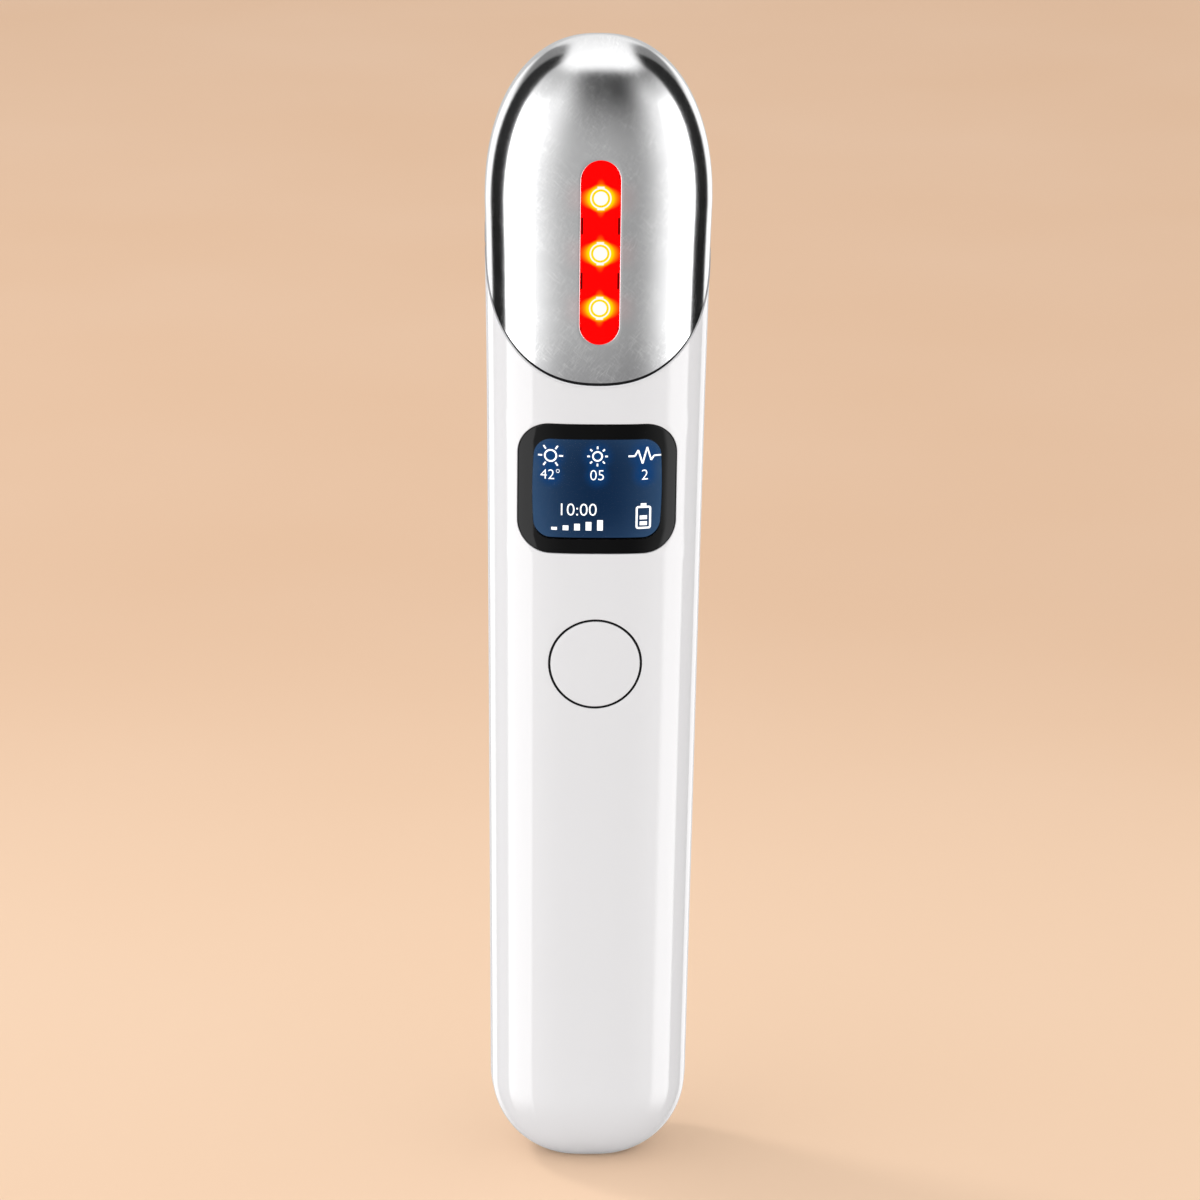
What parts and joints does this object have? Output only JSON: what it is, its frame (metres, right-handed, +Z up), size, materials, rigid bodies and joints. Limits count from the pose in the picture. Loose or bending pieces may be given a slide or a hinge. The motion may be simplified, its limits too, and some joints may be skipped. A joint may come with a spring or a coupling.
{
  "type": "heated eye massager wand",
  "caption": "Slim hand-held wand with a satin metal heated head, red light window, small display, one round key and a charging port in its foot.",
  "frame": {"origin": "centre of the small flat on the foot that the wand stands on", "axes": "+Z up the wand from foot to metal head, -Y out of the front face with the display and key, +X across the front to the right as seen from the front"},
  "size_m": [0.0276, 0.0212, 0.145],
  "materials": {
    "body_gloss": "glossy white moulded ABS",
    "head_metal": "satin drawn stainless steel with very fine random scratches",
    "black_rubber": "matt black silicone",
    "carrier": "moulded plastic, as moulded",
    "red_lens": "clear red acrylic, lit from behind",
    "reflector": "white moulded plastic",
    "led": "lit LED packages",
    "circuit_board": "green solder resist",
    "film": "amber polyimide film with etched tracks",
    "sensor_bead": "epoxy bead",
    "steel": "bare steel",
    "display_glass": "clear acrylic with a black printed border",
    "adhesive": "black foam tape",
    "display_panel": "lit blue panel",
    "black_plastic": "black moulded plastic",
    "battery_can": "metal can in a blue sleeve",
    "foam": "soft foam pad",
    "lead_insulation": "soft insulation"
  },
  "bodies": {
    "body": {"front_shell": "body_gloss", "rear_shell": "body_gloss", "head_shell": "head_metal", "hand_contact": "head_metal", "head_gasket": "black_rubber", "motor_sleeve": "black_rubber", "head_core": "carrier", "battery_cradle": "carrier", "light_window": "red_lens", "light_reflector": "reflector", "light_leds": "led", "led_board": "circuit_board", "main_board": "circuit_board", "port_board": "circuit_board", "heater_film": "film", "display_ribbon": "film", "head_ribbon": "film", "temperature_sensor": "sensor_bead", "vibration_motor": "steel", "board_screws": "steel", "port_screws": "steel", "port_shell": "steel", "display_lens": "display_glass", "display_adhesive": "adhesive", "display_module": "display_panel", "tact_switch": "black_plastic", "board_connectors": "black_plastic", "controller_chips": "black_plastic", "pulse_transformer": "black_plastic", "port_tongue": "black_plastic", "battery_cell": "battery_can", "battery_pad": "foam", "battery_leads": "lead_insulation", "port_leads": "lead_insulation", "motor_leads": "lead_insulation", "contact_lead": "lead_insulation"},
    "button": {"power_button": "body_gloss", "switch_plunger": "black_plastic"},
    "motor_rotor": {"motor_weight": "steel", "motor_shaft": "steel"}
  },
  "joints": [
    {"name": "button_press", "type": "slide", "parent": "body", "child": "button", "axis": [0, 1, 0], "range_m": [0, 0.0004], "stiffness_N_per_m": 900, "springref_m": -0.0006},
    {"name": "motor_spin", "type": "hinge", "parent": "body", "child": "motor_rotor", "pos_m": [0, 0.002, 0.119], "axis": [0, 0, 1], "continuous": true}
  ]
}
